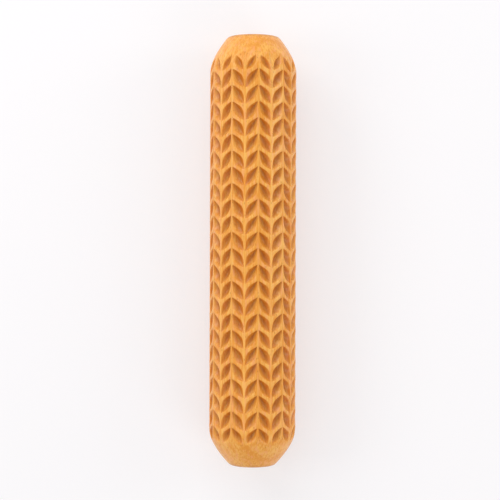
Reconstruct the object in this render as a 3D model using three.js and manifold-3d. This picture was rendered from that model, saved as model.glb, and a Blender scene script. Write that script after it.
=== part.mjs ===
// A hand roller that presses a leaf texture into clay: one bar of hardwood, turned round, bevelled at
// both ends and carved all over with upright stems of paired leaves. It has no axle, handle or bore,
// because it is rolled under the palms. All sizes are in millimetres.
//
// The roller lies along Y with its middle at the origin and Z up, and the leaves' tips point to +Y.
// The carving is laid out flat first, as "across" (round the bar, from a stem) and "along" (towards
// +Y), and is then wrapped round the bar. The wrapped bar and the turned outline are intersected, so
// the bevels cut the first and last leaves short, as they do on the real roller.

import * as THREE from "three";
import { mergeVertices } from "three/addons/utils/BufferGeometryUtils.js";
import Module from "manifold-3d";

// The turned bar
const LENGTH = 198.3;
const DIAMETER = 40;
const TIP_FACE_DIAMETER = 23.6; // end face that the leaves' upper tips point to
const FOOT_FACE_DIAMETER = 20.8; // end face at the leaves' feet
const BEVEL_LENGTH = 14.8; // from the end face to the shoulder, along the bar
const BEVEL_CROWN = 1; // how far the bevel swells past a straight cone
const EDGE_BREAK = 0.7; // softened edge between bevel and end face

// The carved leaves
const STEM_COUNT = 10; // columns of paired leaves round the bar
const FIRST_STEM_DEGREES = 7; // from straight up, towards +X
const ROW_PITCH = 7.38; // from one leaf to the next along a stem
const PLAIN_END = 9.7; // from each end face to the first leaf's tip, to the nearest whole row
const CARVING_SHIFT = 0.4; // how far the carving lies off the middle, towards the upper tips
const LEAF_RUN = 9.1; // from a leaf's upper tip to its lower tip, along the bar
const STEM_LAND = 0.6; // uncut wood between the upper tips of a pair
const SEAM_LAND = 0.5; // uncut wood between the lower tips of neighbouring columns
const UPPER_TIP_LAND = 0.3; // kept free above an upper tip by the leaf before it
const LOWER_TIP_LAND = 1.3; // kept free below a lower tip by the leaf after it
const UPPER_FULLNESS = 0.95; // how far each edge bows out: 1 would fill the corner between the lands
const LOWER_FULLNESS = 0.82;
const LEAF_DEPTH = 2; // where a leaf is deepest
const DEEPEST_SHARE = 0.5; // of the way from the upper tip to the lower
const KEEL_SHARE = 0.5; // of the way from the upper edge to the lower

// How finely the round forms are divided
const SIDES_PER_COLUMN = 4;
const BEVEL_STEPS = 4;
const LEAF_STEPS = 4;

const barRadius = DIAMETER / 2;
const sideCount = SIDES_PER_COLUMN * STEM_COUNT;
const sideAngle = (2 * Math.PI) / sideCount;
const firstStemAngle = THREE.MathUtils.degToRad(FIRST_STEM_DEGREES);
const halfColumn = (Math.PI * DIAMETER) / STEM_COUNT / 2;
const firstToLastTip = LENGTH - 2 * PLAIN_END - LEAF_RUN;
const rowCount = Math.max(1, Math.round(firstToLastTip / ROW_PITCH) + 1);

// The round forms are drawn with flat sides, whose middles lie on the true circle. One side faces
// straight down, so that the roller rests on it.
function outsideCircle(angle) {
  const fromMiddle = angle - sideAngle * Math.round(angle / sideAngle);
  return 1 / Math.cos(fromMiddle);
}

// The outline from the middle of an end face, over its softened edge and its bevel, to past the
// shoulder, drawn for the end at +Y.
function endOutline(faceDiameter) {
  const half = LENGTH / 2;
  const faceRadius = faceDiameter / 2;
  const rim = new THREE.Vector2(faceRadius, half);
  const shoulder = new THREE.Vector2(barRadius, half - BEVEL_LENGTH);
  const outward = new THREE.Vector2(rim.y - shoulder.y, shoulder.x - rim.x).normalize();
  const crest = rim.clone().lerp(shoulder, 1 / 2).addScaledVector(outward, 2 * BEVEL_CROWN);
  const bevel = new THREE.QuadraticBezierCurve(rim, crest, shoulder).getPoints(BEVEL_STEPS);
  const brokenEdge = [
    new THREE.Vector2(faceRadius - EDGE_BREAK, half),
    rim.clone().addScaledVector(bevel[1].clone().sub(rim).normalize(), EDGE_BREAK),
  ];
  const clearOfBar = shoulder.clone().sub(bevel.at(-2));
  clearOfBar.multiplyScalar(LEAF_DEPTH / clearOfBar.x).add(shoulder);
  return [new THREE.Vector2(0, half), ...brokenEdge, ...bevel.slice(1), clearOfBar];
}

// The turned outline as a closed solid. Past the bevels it stands clear of the carved bar, so that
// only the bevels and the end faces cut.
function turnedOutline() {
  const tipEnd = endOutline(TIP_FACE_DIAMETER).toReversed();
  const footEnd = endOutline(FOOT_FACE_DIAMETER).map(({ x, y }) => new THREE.Vector2(x, -y));
  const profile = [...footEnd, ...tipEnd];
  const sides = new THREE.LatheGeometry(profile, sideCount, sideAngle / 2);
  const toCorners = outsideCircle(sideAngle / 2);
  return sides.scale(toCorners, 1, toCorners);
}

// One leaf laid flat, from its upper tip beside the stem to its lower tip beside the seam. Its upper
// edge bows out towards a corner just below the lower tip of the leaf before it, and its lower edge
// towards a corner just above the upper tip of the leaf after it. So the edges run beside the seam
// and the stem for a while, and no leaf can meet another. The keel, where the cut is deepest, runs
// between the edges.
function flatLeaf() {
  const upperTip = new THREE.Vector2(STEM_LAND / 2, 0);
  const lowerTip = new THREE.Vector2(halfColumn - SEAM_LAND / 2, -LEAF_RUN);
  const upperCorner = new THREE.Vector2(lowerTip.x, lowerTip.y + ROW_PITCH - LOWER_TIP_LAND);
  const lowerCorner = new THREE.Vector2(upperTip.x, upperTip.y - ROW_PITCH + UPPER_TIP_LAND);
  const bowedEdge = (corner, fullness) =>
    new THREE.CubicBezierCurve(
      upperTip,
      upperTip.clone().lerp(corner, fullness),
      lowerTip.clone().lerp(corner, fullness),
      lowerTip,
    );
  const upperEdge = bowedEdge(upperCorner, UPPER_FULLNESS);
  const lowerEdge = bowedEdge(lowerCorner, LOWER_FULLNESS);
  const towardsDeepest = Math.log(DEEPEST_SHARE) / Math.log(1 / 2);
  const above = [];
  const keel = [];
  const below = [];
  for (let i = 1; i < LEAF_STEPS; i += 1) {
    const share = i / LEAF_STEPS;
    const keelAt = share ** towardsDeepest;
    above.push({ place: upperEdge.getPoint(share), depth: 0 });
    below.push({ place: lowerEdge.getPoint(share), depth: 0 });
    keel.push({
      place: upperEdge.getPoint(keelAt).lerp(lowerEdge.getPoint(keelAt), KEEL_SHARE),
      depth: LEAF_DEPTH * 4 * share * (1 - share),
    });
  }
  return { upperTip, lowerTip, above, keel, below };
}

// Collects the wrapped surface's corners and triangles.
class WrappedSkin {
  corners = [];
  triangles = [];

  // A corner at a place on the flat layout, sunk below the bar's surface by depth.
  corner(stem, side, flat, along, depth = 0) {
    const turn = (stem * 2 * Math.PI) / STEM_COUNT + (side * flat.x) / barRadius;
    const angle = firstStemAngle + turn;
    const radius = barRadius * outsideCircle(angle) - depth;
    this.corners.push(radius * Math.sin(angle), along + flat.y, radius * Math.cos(angle));
    return this.corners.length / 3 - 1;
  }

  distance(a, b) {
    const at = (i) => new THREE.Vector3().fromArray(this.corners, 3 * i);
    return at(a).distanceTo(at(b));
  }

  triangle(a, b, c, side) {
    if (a === b || b === c || c === a) return;
    this.triangles.push(...(side > 0 ? [a, b, c] : [a, c, b]));
  }

  // Fills the strip between two lines of corners, the upper one first, by the shorter diagonals.
  zip(upper, lower, side) {
    let i = 0;
    let j = 0;
    while (i < upper.length - 1 || j < lower.length - 1) {
      const canStepUpper = i < upper.length - 1;
      const canStepLower = j < lower.length - 1;
      const upperIsShorter =
        canStepUpper &&
        (!canStepLower ||
          this.distance(upper[i + 1], lower[j]) <= this.distance(upper[i], lower[j + 1]));
      if (upperIsShorter) {
        this.triangle(upper[i], lower[j], upper[i + 1], side);
        i += 1;
      } else {
        this.triangle(upper[i], lower[j], lower[j + 1], side);
        j += 1;
      }
    }
  }
}

// One half column: its leaves from the highest row down. The two sides of a stem mirror each other.
function carveHalfColumn(skin, stem, side, leaf, highestTip) {
  const rows = [];
  for (let row = 0; row < rowCount; row += 1) {
    const along = highestTip - row * ROW_PITCH;
    const upperTip = skin.corner(stem, side, leaf.upperTip, along);
    const lowerTip = skin.corner(stem, side, leaf.lowerTip, along);
    const tipToTip = (stations) => [
      upperTip,
      ...stations.map(({ place, depth }) => skin.corner(stem, side, place, along, depth)),
      lowerTip,
    ];
    rows.push({
      above: tipToTip(leaf.above),
      keel: tipToTip(leaf.keel),
      below: tipToTip(leaf.below),
    });
  }
  rows.forEach((row, index) => {
    skin.zip(row.above, row.keel, side);
    skin.zip(row.keel, row.below, side);
    if (index + 1 < rowCount) skin.zip(row.below, rows[index + 1].above, side);
  });
  return rows;
}

// The whole bar, carved and straight, a little longer than the finished roller.
function carvedBar() {
  const skin = new WrappedSkin();
  const leaf = flatLeaf();
  const highestTip = ((rowCount - 1) * ROW_PITCH + LEAF_RUN) / 2 + CARVING_SHIFT;
  const halves = [];
  for (let stem = 0; stem < STEM_COUNT; stem += 1) {
    const [left, right] = [-1, 1].map((side) =>
      carveHalfColumn(skin, stem, side, leaf, highestTip),
    );
    halves.push({ left, right });
  }

  // Uncut strips: up each stem, and up the seam between each column and the next.
  const tips = (rows, last) => rows.map((row) => row.above.at(last ? -1 : 0));
  halves.forEach(({ left, right }, stem) => {
    const next = halves[(stem + 1) % STEM_COUNT].left;
    skin.zip(tips(left, false), tips(right, false), -1);
    skin.zip(tips(right, true), tips(next, true), -1);
  });

  // Plain wood past the first and last rows, and the two flat ends.
  const barEnd = LENGTH / 2 + BEVEL_LENGTH;
  for (const end of [1, -1]) {
    const edge = halves.flatMap(({ left, right }) => {
      const pick = (rows) => (end > 0 ? rows[0].above : rows.at(-1).below);
      return [...pick(left).toReversed(), ...pick(right)];
    });
    const rim = edge.map((index) => {
      const [x, , z] = skin.corners.slice(3 * index, 3 * index + 3);
      skin.corners.push(x, end * barEnd, z);
      return skin.corners.length / 3 - 1;
    });
    skin.corners.push(0, end * barEnd, 0);
    const centre = skin.corners.length / 3 - 1;
    edge.forEach((corner, i) => {
      const j = (i + 1) % edge.length;
      skin.triangle(corner, edge[j], rim[i], end);
      skin.triangle(edge[j], rim[j], rim[i], end);
      skin.triangle(rim[i], rim[j], centre, end);
    });
  }

  const geometry = new THREE.BufferGeometry();
  geometry.setAttribute("position", new THREE.Float32BufferAttribute(skin.corners, 3));
  geometry.setIndex(skin.triangles);
  return geometry;
}

const wasm = await Module();
wasm.setup();

function toSolid(geometry) {
  const bare = geometry.clone();
  bare.deleteAttribute("normal");
  bare.deleteAttribute("uv");
  const merged = mergeVertices(bare, 1e-4);
  return new wasm.Manifold(
    new wasm.Mesh({
      numProp: 3,
      vertProperties: merged.attributes.position.array,
      triVerts: new Uint32Array(merged.index.array),
    }),
  );
}

function toGeometry(solid) {
  const { vertProperties, triVerts } = solid.getMesh();
  const geometry = new THREE.BufferGeometry();
  geometry.setAttribute("position", new THREE.BufferAttribute(vertProperties, 3));
  geometry.setIndex(new THREE.BufferAttribute(triVerts, 1));
  return geometry.toNonIndexed();
}

const roller = toSolid(carvedBar()).intersect(toSolid(turnedOutline()));
const rollerGeometry = toGeometry(roller);
rollerGeometry.computeVertexNormals();

const oiledHardwood = new THREE.MeshStandardMaterial({
  color: 0xd9944a,
  roughness: 0.5,
  metalness: 0,
});

const rollerMesh = new THREE.Mesh(rollerGeometry, oiledHardwood);
rollerMesh.name = "carved_roller";

const textureRoller = new THREE.Group();
textureRoller.add(rollerMesh);

export default textureRoller;
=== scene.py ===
# A clay texture roller, lying on a pale floor and seen from straight above. The whole roller is one
# bar of oiled hardwood: turned round, bevelled at both ends and carved all over with stems of paired
# leaf pockets. The carved skin is made point by point from the same layout as the frame's solid, with
# more steps, rounded lips and a fuller section, and it is closed, so it stands for that solid.
#
# The roller lies along Y with its middle at the origin and Z up, and the leaves' tips point to +Y.

import math

import bpy
import numpy as np
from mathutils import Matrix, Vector


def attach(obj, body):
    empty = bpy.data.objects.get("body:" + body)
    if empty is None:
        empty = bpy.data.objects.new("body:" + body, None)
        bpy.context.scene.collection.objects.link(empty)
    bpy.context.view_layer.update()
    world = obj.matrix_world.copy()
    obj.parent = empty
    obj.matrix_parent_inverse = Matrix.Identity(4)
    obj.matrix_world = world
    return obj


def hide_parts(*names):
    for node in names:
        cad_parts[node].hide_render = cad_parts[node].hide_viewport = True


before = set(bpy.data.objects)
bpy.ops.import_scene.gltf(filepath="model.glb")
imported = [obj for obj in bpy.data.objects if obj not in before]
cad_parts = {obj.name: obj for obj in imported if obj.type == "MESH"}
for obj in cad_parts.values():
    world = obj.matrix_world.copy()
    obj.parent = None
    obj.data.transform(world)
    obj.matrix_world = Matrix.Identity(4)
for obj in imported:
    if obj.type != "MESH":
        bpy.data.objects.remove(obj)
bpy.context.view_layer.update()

MM = 0.001  # the sizes below are in millimetres, and the scene is in metres

# The turned bar
LENGTH = 198.3
DIAMETER = 40
TIP_FACE_DIAMETER = 23.6  # end face that the leaves' upper tips point to
FOOT_FACE_DIAMETER = 20.8  # end face at the leaves' feet
BEVEL_CORNER = 10  # from the end face to where the bevel points at the bar's side
BEVEL_RUNOUT = 16.8  # from the end face to where the bevel has melted into the bar's side
EDGE_ROUND = 0.9  # rounded edge between bevel and end face

# The carved leaves
STEM_COUNT = 10  # columns of paired leaves round the bar
FIRST_STEM_DEGREES = 7  # from straight up, towards +X
ROW_COUNT = 24
ROW_PITCH = 7.38  # from one leaf to the next along a stem
PLAIN_END = 9.24  # from the tip end's face to the first leaf's upper tip
LEAF_RUN = 9  # from a leaf's upper tip to its lower tip, along the bar
STEM_LAND = 0.56  # uncut wood between the upper tips of a pair
SEAM_LAND = 0.5  # uncut wood between the lower tips of neighbouring columns
UPPER_TIP_LAND = 0.25  # kept free above an upper tip by the leaf before it
LOWER_TIP_LAND = 1.3  # kept free below a lower tip by the leaf after it
UPPER_FULLNESS = 0.97  # how far each edge bows out: 1 would fill the corner between the lands
LOWER_FULLNESS = 0.82
FIRST_LEAF_SIZE = 0.92  # size of the leaves nearest the tip end, against the others
FIRST_LEAF_DEPTH = 2.2  # and their depth, before the bevel takes some of it away
LEAF_DEPTH = 2  # where a leaf is deepest
LIP_ROUND = 0.12  # softened edge of a pocket
TIP_MARGIN = 1  # plain wood past the first upper tips before the bevel's own rings of points start

# A leaf's section. Across the leaf, 0 is its upper edge and 1 its lower edge.
KEEL = 0.45
KEEL_FLAT = 0.08  # how much of each flank belongs to the flat bottom
UPPER_FLANK = 1  # 1 is a straight slope, more is a steeper wall beside a flatter bottom
LOWER_FLANK = 1.5
DEEPEST_SHARE = 0.44  # of the way from the upper tip to the lower
TIP_SHARPNESS = 0.9  # 1 rises like a parabola from each tip, more rises later

# How finely the forms are divided
LEAF_STEPS = (12, 12)  # lengthwise and crosswise
CUT_LEAF_STEPS = (20, 16)  # for the first and last leaves, which the bevels cut
TIP_TO_TIP_STEPS = 6  # along stems and seams, where they curve into a bevel
SHOULDER_STEPS = 6
BEVEL_STEPS = 8
EDGE_STEPS = 4
END_FACE_STEPS = 4

bar_radius = DIAMETER / 2
half_length = LENGTH / 2
face_radius = {1: TIP_FACE_DIAMETER / 2, -1: FOOT_FACE_DIAMETER / 2}
half_column = math.pi * DIAMETER / STEM_COUNT / 2


# Camera: straight above the roller, a little to the left of its axis
CAMERA_HEIGHT = 650.5  # above the roller's axis
CAMERA_SIDE = -1.3
CAMERA_ALONG = 0.45
CAMERA_ROLL_DEGREES = 0.17
PICTURE_WIDTH = 500
FOCAL_PIXELS = 1400
SENSOR_WIDTH = 36


def make_camera():
    camera = bpy.data.cameras.new("camera")
    camera.sensor_width = SENSOR_WIDTH
    camera.lens = SENSOR_WIDTH * FOCAL_PIXELS / PICTURE_WIDTH
    holder = bpy.data.objects.new("camera", camera)
    holder.location = (CAMERA_SIDE * MM, CAMERA_ALONG * MM, CAMERA_HEIGHT * MM)
    holder.rotation_euler = (0, 0, math.radians(CAMERA_ROLL_DEGREES))
    bpy.context.collection.objects.link(holder)
    bpy.context.scene.camera = holder


make_camera()


# Shader maths

class Value:
    """A socket of a material, so that maths on it reads as plain Python."""

    def __init__(self, finish, socket):
        self.finish = finish
        self.socket = socket

    def maths(self, operation, *terms):
        return self.finish.node("ShaderNodeMath", {"operation": operation}, list(terms))

    def __add__(self, other):
        return self.maths("ADD", self, other)

    def __sub__(self, other):
        return self.maths("SUBTRACT", self, other)

    def __rsub__(self, other):
        return self.maths("SUBTRACT", other, self)

    def __mul__(self, other):
        return self.maths("MULTIPLY", self, other)

    def __truediv__(self, other):
        return self.maths("DIVIDE", self, other)

    def __pow__(self, other):
        return self.maths("POWER", self, other)

    __radd__ = __add__
    __rmul__ = __mul__


class Finish:
    """The nodes of one material, or of the room round the roller."""

    def __init__(self, owner):
        owner.use_nodes = True
        self.tree = owner.node_tree
        self.tree.nodes.clear()

    def node(self, kind, settings=None, sockets=None, output=None):
        """Adds a node: its settings first, then the values or links of its sockets by name or place."""
        made = self.tree.nodes.new(kind)
        for name, setting in (settings or {}).items():
            setattr(made, name, setting)
        named = sockets if isinstance(sockets, dict) else dict(enumerate(sockets or []))
        for name, value in named.items():
            socket = self.find(made.inputs, name)
            if isinstance(value, Value):
                self.tree.links.new(value.socket, socket)
            else:
                socket.default_value = value
        if not made.outputs:
            return made
        return Value(self, self.find(made.outputs, output))

    def find(self, sockets, name):
        """The socket in use with this name or place; the first one if none is given."""
        used = [socket for socket in sockets if socket.enabled]
        if name is None or isinstance(name, int):
            return used[name or 0]
        return next(socket for socket in used if socket.name == name)

    def place(self):
        """Where a point is on the roller, in millimetres."""
        position = self.node("ShaderNodeTexCoord", output="Object")
        return self.stretch(position, (1 / MM, 1 / MM, 1 / MM))

    def stretch(self, vector, factors):
        settings = {"operation": "MULTIPLY"}
        return self.node("ShaderNodeVectorMath", settings, [vector, factors])

    def patches(self, size):
        """The place on the roller, counted in patches of this width and this length along the bar."""
        width, length = size
        return self.stretch(self.place(), (1 / width, 1 / length, 1 / width))

    def figure(self, size, detail=2.0, roughness=0.5):
        """Soft random patches of this size, from 0 to 1."""
        sockets = {
            "Vector": self.patches(size),
            "Scale": 1.0,
            "Detail": detail,
            "Roughness": roughness,
        }
        return self.node("ShaderNodeTexNoise", {}, sockets)

    def step(self, value, start, end):
        """0 below start, 1 above end, and smooth between them."""
        settings = {"interpolation_type": "SMOOTHSTEP"}
        sockets = {"Value": value, "From Min": start, "From Max": end}
        return self.node("ShaderNodeMapRange", settings, sockets)

    def blend(self, share, first, second, way="MIX"):
        """Mixes two colours."""
        settings = {"data_type": "RGBA", "blend_type": way}
        return self.node("ShaderNodeMix", settings, {"Factor": share, "A": first, "B": second})


# The carved skin

def turned_radius(along):
    """The bar's radius before carving, at a distance along from its middle."""
    from_end = np.clip(half_length - np.abs(along), 0, BEVEL_RUNOUT)
    bend = 2 * BEVEL_CORNER - BEVEL_RUNOUT
    share = (BEVEL_CORNER - np.sqrt(BEVEL_CORNER**2 - bend * from_end)) / bend
    face = np.where(along > 0, face_radius[1], face_radius[-1])
    return bar_radius - (bar_radius - face) * (1 - share) ** 2


def leaf_edge(upper_tip, lower_tip, corner, fullness, shares):
    """A leaf's edge from tip to tip, bowed out towards a corner, at these shares of its length."""
    first = upper_tip + fullness * (corner - upper_tip)
    second = lower_tip + fullness * (corner - lower_tip)
    t = shares[:, None]
    return (
        (1 - t) ** 3 * upper_tip
        + 3 * t * (1 - t) ** 2 * first
        + 3 * t**2 * (1 - t) * second
        + t**3 * lower_tip
    )


def flat_leaf(steps, size=1.0, deepest=LEAF_DEPTH):
    """A leaf laid flat, right of its stem: for each grid point its place across and along, its depth,
    and how near it is to the leaf's upper edge."""
    lengthwise, crosswise = steps
    upper_tip = np.array([STEM_LAND / 2, 0])
    lower_tip = np.array([half_column - SEAM_LAND / 2, -LEAF_RUN])
    upper_corner = np.array([lower_tip[0], lower_tip[1] + ROW_PITCH - LOWER_TIP_LAND])
    lower_corner = np.array([upper_tip[0], upper_tip[1] - ROW_PITCH + UPPER_TIP_LAND])
    even = np.linspace(0, 1, lengthwise + 1)
    shares = (even + np.sin(even * math.pi / 2) ** 2) / 2
    upper = leaf_edge(upper_tip, lower_tip, upper_corner, UPPER_FULLNESS, shares)
    lower = leaf_edge(upper_tip, lower_tip, lower_corner, LOWER_FULLNESS, shares)

    # Closer together towards both edges, where the lips are
    across_share = np.sin(np.linspace(0, 1, crosswise + 1) * math.pi / 2) ** 2
    w = across_share[None, :, None]
    place = upper[:, None] * (1 - w) + lower[:, None] * w
    depth = deepest * leaf_section(place, upper_tip, lower_tip, across_share)
    place = upper_tip + size * (place - upper_tip)
    return place, depth, 1 - np.broadcast_to(across_share, depth.shape)


def leaf_section(place, upper_tip, lower_tip, across_share):
    """The depth at each point as a share of the deepest."""
    rib = lower_tip - upper_tip
    along_share = np.clip((place - upper_tip) @ rib / (rib @ rib), 0, 1)
    towards_deepest = along_share ** (math.log(1 / 2) / math.log(DEEPEST_SHARE))
    lengthwise = (4 * towards_deepest * (1 - towards_deepest)) ** TIP_SHARPNESS
    above_keel = across_share < KEEL
    flank = np.where(above_keel, 1 - across_share / KEEL, (across_share - KEEL) / (1 - KEEL))
    flank = np.clip((flank - KEEL_FLAT) / (1 - KEEL_FLAT), 0, 1)
    crosswise = 1 - flank ** np.where(above_keel, UPPER_FLANK, LOWER_FLANK)
    return lengthwise * crosswise


class CarvedSkin:
    """Collects the points and faces of the roller's surface."""

    def __init__(self):
        self.angle = []
        self.along = []
        self.radius = []
        self.carved = []
        self.upper_side = []
        self.faces = []

    def points(self, angle, along, depth=0.0, upper_side=0.0, radius=None):
        """Adds points and returns their numbers. A pocket is as deep as it still is below the bevel."""
        angle, along, depth = np.broadcast_arrays(angle, along, depth)
        turned = turned_radius(along) if radius is None else np.full(angle.shape, radius)
        below = np.clip(depth - (bar_radius - turned), 0, None)
        carved = np.sqrt(below**2 + LIP_ROUND**2) - LIP_ROUND
        first = len(self.angle)
        self.angle.extend(angle.ravel())
        self.along.extend(along.ravel())
        self.radius.extend((turned - carved).ravel())
        self.carved.extend(carved.ravel())
        self.upper_side.extend(np.broadcast_to(upper_side, angle.shape).ravel())
        return np.arange(first, first + angle.size).reshape(angle.shape)

    def between(self, start, end):
        """Adds points between two tips, if the bar already curves into a bevel there."""
        angles = self.angle[start], self.angle[end]
        alongs = self.along[start], self.along[end]
        if half_length - np.abs(alongs).max() > BEVEL_RUNOUT:
            return np.empty(0, int)
        shares = np.linspace(0, 1, TIP_TO_TIP_STEPS + 1)[1:-1]
        return self.points(np.interp(shares, (0, 1), angles), np.interp(shares, (0, 1), alongs))

    def face(self, corners, side):
        ring = list(dict.fromkeys(int(corner) for corner in corners))
        if len(ring) > 2:
            self.faces.append(ring if side > 0 else ring[::-1])

    def grid(self, numbers, side):
        for upper, lower in zip(numbers[:-1], numbers[1:]):
            for j in range(len(upper) - 1):
                self.face((upper[j], upper[j + 1], lower[j + 1], lower[j]), side)

    def gap(self, a, b):
        turn = (self.angle[a] - self.angle[b]) * bar_radius
        return math.hypot(turn, self.along[a] - self.along[b])

    def stitch(self, upper, lower, side):
        """Fills the strip between two lines of points, the upper one first, by shorter diagonals."""
        i = j = 0
        while i < len(upper) - 1 or j < len(lower) - 1:
            only_upper = j == len(lower) - 1
            only_lower = i == len(upper) - 1
            if only_upper or (
                not only_lower
                and self.gap(upper[i + 1], lower[j]) <= self.gap(upper[i], lower[j + 1])
            ):
                self.face((upper[i], lower[j], upper[i + 1]), side)
                i += 1
            else:
                self.face((upper[i], lower[j], lower[j + 1]), side)
                j += 1

    def mesh(self, name):
        angle, along, radius = map(np.array, (self.angle, self.along, self.radius))
        xyz = np.column_stack([radius * np.sin(angle), along, radius * np.cos(angle)]) * MM
        mesh = bpy.data.meshes.new(name)
        mesh.from_pydata(xyz.tolist(), [], self.faces)
        for label, values in (("carved", self.carved), ("upper_side", self.upper_side)):
            attribute = mesh.attributes.new(label, "FLOAT", "POINT")
            attribute.data.foreach_set("value", np.array(values, dtype=np.float32))
        mesh.shade_smooth()
        return mesh


def stem_angle(stem):
    return math.radians(FIRST_STEM_DEGREES) + stem * 2 * math.pi / STEM_COUNT


def carve_half_column(skin, stem, side):
    """The leaves on one side of a stem, from the highest row down, and the lines of points that join
    their upper tips along the stem and their lower tips along the seam."""
    rows = []
    stem_line = []
    seam_line = []
    for row in range(ROW_COUNT):
        leaf = {0: first_leaf, ROW_COUNT - 1: last_leaf}.get(row, whole_leaf)
        place, depth, upper_side = leaf
        angle = stem_angle(stem) + side * place[..., 0] / bar_radius
        along = half_length - PLAIN_END - row * ROW_PITCH + place[..., 1]
        numbers = np.empty(depth.shape, int)
        numbers[0] = skin.points(angle[0, 0], along[0, 0])
        numbers[1:-1] = skin.points(angle[1:-1], along[1:-1], depth[1:-1], upper_side[1:-1])
        numbers[-1] = skin.points(angle[-1, 0], along[-1, 0])
        skin.grid(numbers, side)
        if rows:
            by_stem = skin.between(stem_line[-1], numbers[0, 0])
            by_seam = skin.between(seam_line[-1], numbers[-1, 0])
            upper = np.append(rows[-1][:, -1], by_seam)
            skin.stitch(upper, np.append(by_stem, numbers[:, 0]), side)
            stem_line.extend(by_stem)
            seam_line.extend(by_seam)
        stem_line.append(numbers[0, 0])
        seam_line.append(numbers[-1, 0])
        rows.append(numbers)
    return {"rows": rows, "stem": stem_line, "seam": seam_line}


def close_end(skin, edge, end):
    """Plain wood from the outermost leaves' edges over the shoulder, bevel and end face."""
    angle = np.array([skin.angle[number] for number in edge])
    start = np.array([skin.along[number] for number in edge])
    bevel_start = half_length - PLAIN_END + TIP_MARGIN
    rim = half_length - EDGE_ROUND
    rings = [edge]
    for share in np.linspace(0, 1, SHOULDER_STEPS + 1)[1:]:
        rings.append(skin.points(angle, start + share * (end * bevel_start - start)))
    for along in np.linspace(bevel_start, rim, BEVEL_STEPS + 1)[1:]:
        rings.append(skin.points(angle, end * along))

    # The rounded edge and the end face
    rim_radius = float(turned_radius(end * rim))
    inner_radius = face_radius[end] - EDGE_ROUND
    for t in np.linspace(0, 1, EDGE_STEPS + 1)[1:]:
        radius = (1 - t) ** 2 * rim_radius + 2 * t * (1 - t) * face_radius[end] + t**2 * inner_radius
        along = half_length - EDGE_ROUND * (1 - t) ** 2
        rings.append(skin.points(angle, end * along, radius=radius))
    for share in np.linspace(1, 0, END_FACE_STEPS + 1)[1:-1]:
        rings.append(skin.points(angle, end * half_length, radius=inner_radius * share))
    centre = skin.points(0.0, end * half_length, radius=0.0)
    rings.append(np.full(len(edge), centre))

    closed = [np.append(ring, ring[0]) for ring in rings]
    skin.grid(np.array(closed), end)


def carve_roller():
    skin = CarvedSkin()
    halves = [
        {side: carve_half_column(skin, stem, side) for side in (-1, 1)}
        for stem in range(STEM_COUNT)
    ]

    # Uncut strips: up each stem, and up the seam between each column and the next
    for stem, half in enumerate(halves):
        following = halves[(stem + 1) % STEM_COUNT]
        skin.grid(np.array([half[-1]["stem"], half[1]["stem"]]), 1)
        skin.grid(np.array([half[1]["seam"], following[-1]["seam"]]), 1)

    for end, row, edge in ((1, 0, 0), (-1, -1, -1)):
        lines = []
        for half in halves:
            lines.append(half[-1]["rows"][row][::-1, edge])
            lines.append(half[1]["rows"][row][:, edge])
        close_end(skin, np.concatenate(lines), end)
    return skin.mesh("carved_leaf_roller")


whole_leaf = flat_leaf(LEAF_STEPS)
first_leaf = flat_leaf(CUT_LEAF_STEPS, FIRST_LEAF_SIZE, FIRST_LEAF_DEPTH)
last_leaf = flat_leaf(CUT_LEAF_STEPS)


# The wood

PITH = (-34.0, -58.0)  # the tree's heart lies outside the bar, in X and Z
RING_PITCH = 3.4
RING_WANDER = 1.2  # in rings

# Width of the patches of the wood's figure, and their length along the bar
WANDER_SIZE = (11, 93)
FIBRE_SIZE = (0.77, 9.6)
FIBRE_DETAIL = 3  # how many layers of finer fibres lie over the coarse ones
FIBRE_COARSENESS = 0.6  # how strong each layer is against the one before
CLOUD_SIZE = (9, 26)
PINK_SIZE = (1.4, 14)
PORE_SIZE = (1, 2.5)
PORE_GROUP_SIZE = (2, 2)
PORE_GROUP_DETAIL = 1

# Where each of them sets in and where it is full, on its own scale from 0 to 1
PINK_RANGE = (0.5, 0.7)
PORE_RANGE = (0.12, 0.32)  # from a pore's middle outwards, so here it is full first
PORE_GROUP_RANGE = (0.4, 0.65)
END_RING_RANGE = (0.45, 0.6)

# How much each of them tells in the wood's tone, and the tones of pale and of orange wood
RING_SHARE = 0.25
FIBRE_SHARE = 0.6
CLOUD_SHARE = 0.15
PALE_TONE = 0.38
ORANGE_TONE = 0.6

PALE_WOOD = (0.98, 0.505, 0.11, 1)
ORANGE_WOOD = (0.86, 0.325, 0.035, 1)
PINK_STREAK = (0.97, 0.42, 0.15, 1)
PINK_SHARE = 0.7
DARK_PORE = (0.5, 0.15, 0.02, 1)
PORE_SHARE = 0.5
POCKET_PAINTED_SHADE = (0.56, 0.43, 0.18, 1)  # painted shade: what the wood keeps of its colour where a pocket is deepest
WALL_PAINTED_SHADE = (0.82, 0.52, 0.1, 1)  # and painted shade besides on the wall under the upper edge, which faces away from the head lamp
# how deep a pocket must be for the painted shade on its upper wall to be full
WALL_PAINTED_SHADE_DEPTH = 0.5
END_GRAIN = (0.52, 0.2, 0.04, 1)
END_SOAK = 0.4  # how much darker end grain is all over, and besides in its rings
END_RINGS = 0.45

WOOD_ROUGHNESS = 0.36
FIBRE_ROUGHNESS = 0.1
PORE_ROUGHNESS = 0.15
FIBRE_RELIEF = 0.04
PORE_RELIEF = 0.06
BARE_SHINE = 0.2
OIL_SHINE = 0.4
OIL_ROUGHNESS = 0.22


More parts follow.
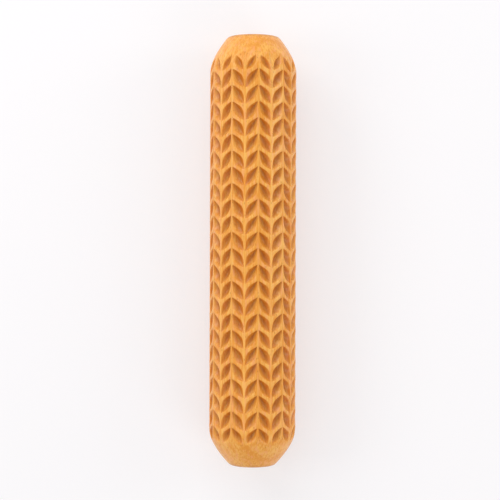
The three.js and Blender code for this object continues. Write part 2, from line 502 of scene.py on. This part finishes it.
def oiled_hardwood():
    wood = bpy.data.materials.new("oiled_hardwood")
    finish = Finish(wood)
    place = finish.place()
    x, y, z = (finish.node("ShaderNodeSeparateXYZ", {}, [place], axis) for axis in "XYZ")

    # Growth rings about the heart of the tree, wandering a little along the bar
    from_pith = ((x - PITH[0]) ** 2 + (z - PITH[1]) ** 2) ** 0.5
    ring_count = from_pith / RING_PITCH + finish.figure(WANDER_SIZE) * RING_WANDER
    ring_sockets = {"W": ring_count, "Scale": 1.0}
    rings = finish.node("ShaderNodeTexNoise", {"noise_dimensions": "1D"}, ring_sockets)

    # Fine fibres and pinkish streaks along the bar, and short dark pores that gather in places
    fibres = finish.figure(FIBRE_SIZE, FIBRE_DETAIL, FIBRE_COARSENESS)
    cloud = finish.figure(CLOUD_SIZE)
    pink = finish.step(finish.figure(PINK_SIZE), *PINK_RANGE)
    pore_cells = {"Vector": finish.patches(PORE_SIZE), "Scale": 1.0}
    from_pore = finish.node("ShaderNodeTexVoronoi", {}, pore_cells, "Distance")
    groups = finish.figure(PORE_GROUP_SIZE, PORE_GROUP_DETAIL)
    pores = 1 - finish.step(from_pore, *PORE_RANGE)
    pores = pores * finish.step(groups, *PORE_GROUP_RANGE)

    tone = rings * RING_SHARE + fibres * FIBRE_SHARE + cloud * CLOUD_SHARE
    colour = finish.blend(finish.step(tone, PALE_TONE, ORANGE_TONE), PALE_WOOD, ORANGE_WOOD)
    colour = finish.blend(pink * PINK_SHARE, colour, PINK_STREAK)

    # Painted shade in the pockets: darker the deeper they are, and darkest on the wall under their
    # upper edges, which faces away from the head lamp
    carved = finish.node("ShaderNodeAttribute", {"attribute_name": "carved"}, output="Fac")
    upper_side = finish.node("ShaderNodeAttribute", {"attribute_name": "upper_side"}, output="Fac")
    # Painted shade on the wall under each pocket's upper edge
    wall = finish.step(carved, 0, WALL_PAINTED_SHADE_DEPTH) * upper_side**2
    colour = finish.blend(carved / LEAF_DEPTH, colour, POCKET_PAINTED_SHADE, "MULTIPLY")
    colour = finish.blend(wall, colour, WALL_PAINTED_SHADE, "MULTIPLY")
    colour = finish.blend(pores * PORE_SHARE, colour, DARK_PORE)

    # The end faces and their edges have taken up more oil, and their grain shows the rings
    from_middle = finish.node("ShaderNodeMath", {"operation": "ABSOLUTE"}, [y])
    end = finish.step(from_middle, half_length - 2 * EDGE_ROUND, half_length)
    end_tone = finish.step(rings, *END_RING_RANGE) * END_RINGS + END_SOAK
    colour = finish.blend(end * end_tone, colour, END_GRAIN)

    roughness = fibres * FIBRE_ROUGHNESS + pores * PORE_ROUGHNESS + WOOD_ROUGHNESS
    relief = fibres * FIBRE_RELIEF - pores * PORE_RELIEF
    bump = finish.node("ShaderNodeBump", {}, {"Distance": MM, "Height": relief})
    shine = {
        "Specular IOR Level": BARE_SHINE,
        "Coat Weight": OIL_SHINE,
        "Coat Roughness": OIL_ROUGHNESS,
    }
    oiled = {"Base Color": colour, "Roughness": roughness, "Normal": bump, **shine}
    surface = finish.node("ShaderNodeBsdfPrincipled", {}, oiled)
    finish.node("ShaderNodeOutputMaterial", {}, {"Surface": surface})
    return wood


def make_roller():
    roller = bpy.data.objects.new("carved_leaf_roller", carve_roller())
    bpy.context.collection.objects.link(roller)
    roller.data.materials.append(oiled_hardwood())
    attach(roller, "root")
    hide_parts("carved_roller")


make_roller()


# The floor and the lights

FLOOR_HALF = 3000  # from its middle to its sides
FLOOR_WHITE = (0.975, 0.96, 0.985, 1)
FLOOR_CREAM = (0.98, 0.965, 0.975, 1)
PAPER_MOTTLE_SIZE = (50, 50)
FLOOR_GLOW = 1  # how white the camera sees the floor where it is bleached out
FLOOR_BLEACH = 0.5  # how much of the floor's own light and shade the camera loses
ROOM_WHITE = (1.0, 0.99, 1.0, 1)
ROOM_LIGHT = 0.57  # what the walls give off, though the camera sees them white


def white_paper():
    paper = bpy.data.materials.new("white_paper")
    finish = Finish(paper)
    mottle = finish.figure(PAPER_MOTTLE_SIZE)
    colour = finish.blend(mottle, FLOOR_WHITE, FLOOR_CREAM)
    matt = finish.node("ShaderNodeBsdfDiffuse", {}, {"Color": colour})
    white = finish.node("ShaderNodeEmission", {}, {"Color": ROOM_WHITE, "Strength": FLOOR_GLOW})
    seen = finish.node("ShaderNodeLightPath", output="Is Camera Ray")
    lit = finish.node("ShaderNodeMixShader", {}, [seen * FLOOR_BLEACH, matt, white])
    finish.node("ShaderNodeOutputMaterial", {}, {"Surface": lit})
    return paper


def make_floor():
    half = FLOOR_HALF * MM
    mesh = bpy.data.meshes.new("floor")
    corners = [(-half, -half, 0), (half, -half, 0), (half, half, 0), (-half, half, 0)]
    mesh.from_pydata(corners, [], [(0, 1, 2, 3)])
    mesh.materials.append(white_paper())
    floor = bpy.data.objects.new("floor", mesh)
    floor.location.z = -bar_radius * MM
    bpy.context.collection.objects.link(floor)


def make_lamp(name, azimuth, elevation, size, level):
    """A soft lamp aimed at the roller from a metre away. Azimuth 0 is +Y and 90 is +X. A level of 1
    lights a surface facing it as white shows."""
    flat = math.cos(math.radians(elevation))
    place = Vector((
        flat * math.sin(math.radians(azimuth)),
        flat * math.cos(math.radians(azimuth)),
        math.sin(math.radians(elevation)),
    ))
    lamp = bpy.data.lights.new(name, "AREA")
    lamp.shape = "RECTANGLE"
    lamp.size, lamp.size_y = size
    lamp.energy = level * math.pi**2
    holder = bpy.data.objects.new(name, lamp)
    holder.location = place
    holder.rotation_euler = (-place).to_track_quat("-Z", "Y").to_euler()
    bpy.context.collection.objects.link(holder)


def make_room():
    world = bpy.data.worlds.new("room")
    room = Finish(world)
    seen = room.node("ShaderNodeLightPath", output="Is Camera Ray")
    level = seen * (1 - ROOM_LIGHT) + ROOM_LIGHT
    walls = room.node("ShaderNodeBackground", {}, {"Color": ROOM_WHITE, "Strength": level})
    room.node("ShaderNodeOutputWorld", {}, {"Surface": walls})
    bpy.context.scene.world = world
    bpy.context.scene.view_settings.view_transform = "Standard"


make_floor()
make_room()
make_lamp("head_lamp", azimuth=-8, elevation=40, size=(0.6, 0.4), level=0.2)
make_lamp("upper_left_lamp", azimuth=315, elevation=30, size=(0.4, 0.4), level=0.18)
make_lamp("left_lamp", azimuth=270, elevation=36, size=(0.35, 0.35), level=0.14)
make_lamp("right_lamp", azimuth=75, elevation=25, size=(0.4, 0.4), level=0.14)
make_lamp("lower_right_lamp", azimuth=135, elevation=38, size=(0.4, 0.4), level=0.12)
